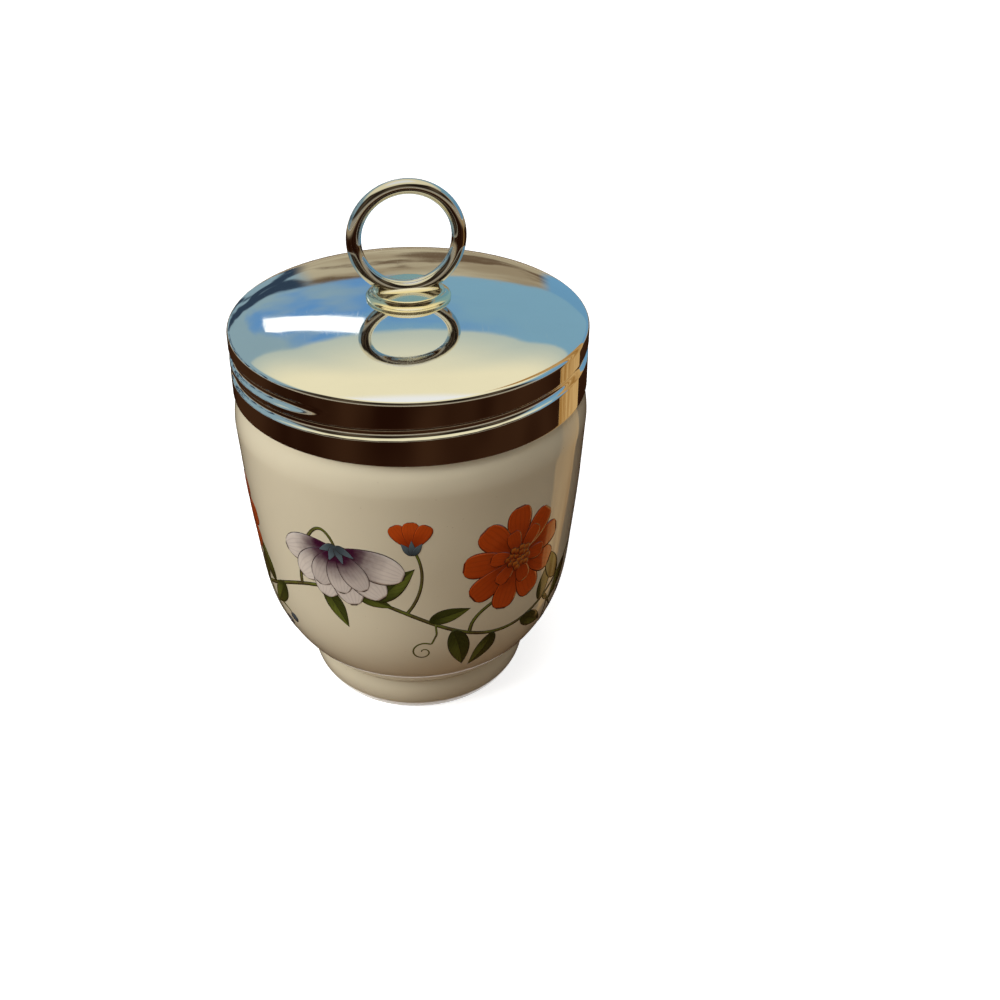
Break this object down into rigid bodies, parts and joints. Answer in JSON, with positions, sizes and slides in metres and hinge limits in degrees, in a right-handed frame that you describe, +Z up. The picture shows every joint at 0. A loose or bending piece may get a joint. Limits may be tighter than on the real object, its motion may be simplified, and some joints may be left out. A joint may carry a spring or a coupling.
{
  "type": "egg coddler",
  "caption": "Footed porcelain egg coddler with a screw-on domed metal cap and an upright lifting ring.",
  "frame": {"origin": "middle of the foot ring's underside, on the table", "axes": "+Z up along the axis of the cup and the cap; +X to the right of the front; the front faces -Y"},
  "size_m": [0.0644, 0.0644, 0.1],
  "materials": {
    "porcelain": null,
    "lid_metal": "mirror polished",
    "seat_metal": "polished",
    "ring_metal": "polished",
    "washer_metal": "plain"
  },
  "bodies": {
    "cup": {"cup": "porcelain"},
    "lid_carrier": {"backing_washer": "washer_metal"},
    "lid": {"lid_shell": "lid_metal", "ring_seat": "seat_metal", "lifting_ring": "ring_metal"}
  },
  "joints": [
    {"name": "lid_rise", "type": "slide", "parent": "cup", "child": "lid_carrier", "axis": [0, 0, 1], "range_m": [0, 0.0136]},
    {"name": "lid_turn", "type": "hinge", "parent": "lid_carrier", "child": "lid", "pos_m": [0, 0, 0.078], "axis": [0, 0, 1], "range_deg": [0, 810]}
  ],
  "couplings": [
    {"joint": "lid_rise", "follows": "lid_turn", "m_per_rad": 0.00095493}
  ]
}
